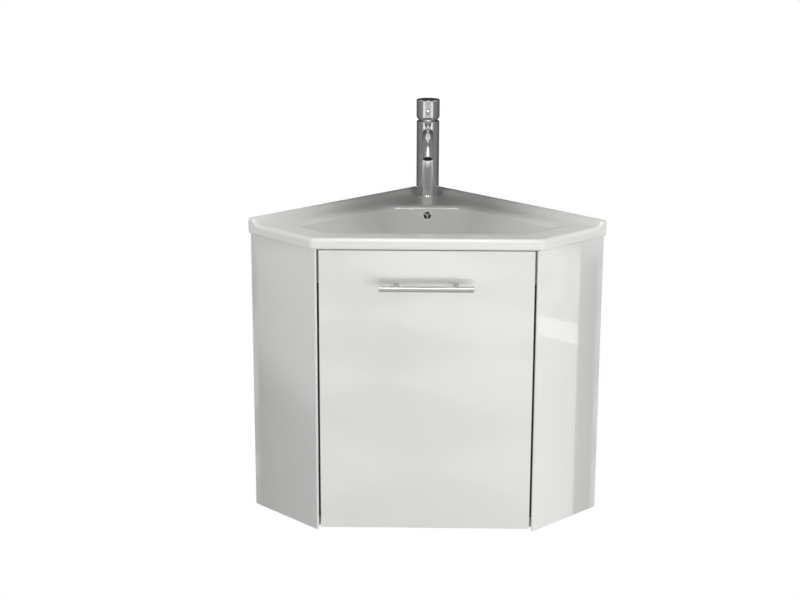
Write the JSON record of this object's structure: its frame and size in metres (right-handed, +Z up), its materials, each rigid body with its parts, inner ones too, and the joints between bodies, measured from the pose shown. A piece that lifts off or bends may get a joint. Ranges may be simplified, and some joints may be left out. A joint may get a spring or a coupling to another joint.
{
  "type": "corner vanity unit",
  "caption": "Wall-hung corner vanity unit: ceramic basin with pillar mixer on a gloss cabinet with a pull-out drawer and a bar handle.",
  "frame": {"origin": "the room corner's vertical edge at the height of the cabinet's underside, where the planes of the two walls meet", "axes": "+Z up; -Y out of the corner, towards the viewer; +X to the viewer's right; the walls run at 45 degrees to X"},
  "size_m": [0.5922, 0.442, 0.6703],
  "materials": {
    "glazed_ceramic": "white glaze",
    "chrome": "polished",
    "plated_brass": "plated brass, plain",
    "handle_metal": "satin",
    "seal_rubber": "matt",
    "black_plastic": "moulded",
    "grey_plastic": "moulded",
    "white_plastic": "moulded",
    "gloss_front": "board with a white high-gloss face",
    "white_board": "board with a white melamine face",
    "dark_board": "board with an anthracite melamine face",
    "zinc_steel": "bright zinc plated"
  },
  "bodies": {
    "cabinet": {"basin": "glazed_ceramic", "overflow_ring": "chrome", "waste_flange": "chrome", "plug_guide": "plated_brass", "flange_seal": "seal_rubber", "lower_seal": "seal_rubber", "waste_nut": "plated_brass", "tail_nut": "plated_brass", "tail_pipe": "plated_brass", "mixer_body": "chrome", "mixer_base_ring": "chrome", "aerator_shell": "chrome", "aerator_insert": "black_plastic", "cartridge": "grey_plastic", "cartridge_nut": "plated_brass", "fixing_stud": "zinc_steel", "deck_gasket": "seal_rubber", "deck_washer": "zinc_steel", "stud_nut": "zinc_steel", "left_side_panel": "gloss_front", "right_side_panel": "gloss_front", "bottom_panel": "white_board", "corner_post": "white_board", "left_upper_rail": "white_board", "right_upper_rail": "white_board", "left_lower_rail": "white_board", "right_lower_rail": "white_board", "front_top_rail": "white_board", "front_stiles": "dark_board", "left_partition": "white_board", "right_partition": "white_board", "cam_fittings": "zinc_steel", "hanging_plates": "zinc_steel", "plate_screws": "zinc_steel", "left_cabinet_runner": "zinc_steel", "right_cabinet_runner": "zinc_steel", "cabinet_runner_screws": "zinc_steel"},
    "drawer": {"drawer_front": "gloss_front", "handle_bar": "handle_metal", "handle_posts": "handle_metal", "handle_screws": "zinc_steel", "front_screws": "zinc_steel", "inner_front": "white_board", "left_drawer_side": "white_board", "right_drawer_side": "white_board", "left_drawer_back": "white_board", "right_drawer_back": "white_board", "drawer_base": "white_board", "trap_liner": "white_plastic", "left_drawer_runner": "zinc_steel", "right_drawer_runner": "zinc_steel", "drawer_runner_screws": "zinc_steel"},
    "runner_middle": {"left_middle_runner": "zinc_steel", "right_middle_runner": "zinc_steel"},
    "mixer_carrier": {"cartridge_carrier": "white_plastic", "stem_pin": "zinc_steel"},
    "mixer_handle": {"cartridge_stem": "plated_brass", "mixer_head": "chrome", "pin_lever": "chrome"},
    "plug": {"waste_plug": "chrome"}
  },
  "joints": [
    {"name": "drawer_slide", "type": "slide", "parent": "cabinet", "child": "drawer", "axis": [0, -1, 0], "range_m": [0, 0.17]},
    {"name": "runner_follow", "type": "slide", "parent": "cabinet", "child": "runner_middle", "axis": [0, -1, 0], "range_m": [0, 0.085]},
    {"name": "mixer_turn", "type": "hinge", "parent": "cabinet", "child": "mixer_carrier", "pos_m": [0, -0.062, 0.6375], "axis": [0, 0, 1], "range_deg": [-45, 45]},
    {"name": "mixer_lift", "type": "hinge", "parent": "mixer_carrier", "child": "mixer_handle", "pos_m": [0, -0.062, 0.6375], "axis": [-1, 0, 0], "range_deg": [0, 8]},
    {"name": "plug_press", "type": "slide", "parent": "cabinet", "child": "plug", "axis": [0, 0, 1], "range_m": [0, 0.008]}
  ],
  "couplings": [
    {"joint": "runner_follow", "follows": "drawer_slide", "ratio": 0.5}
  ]
}
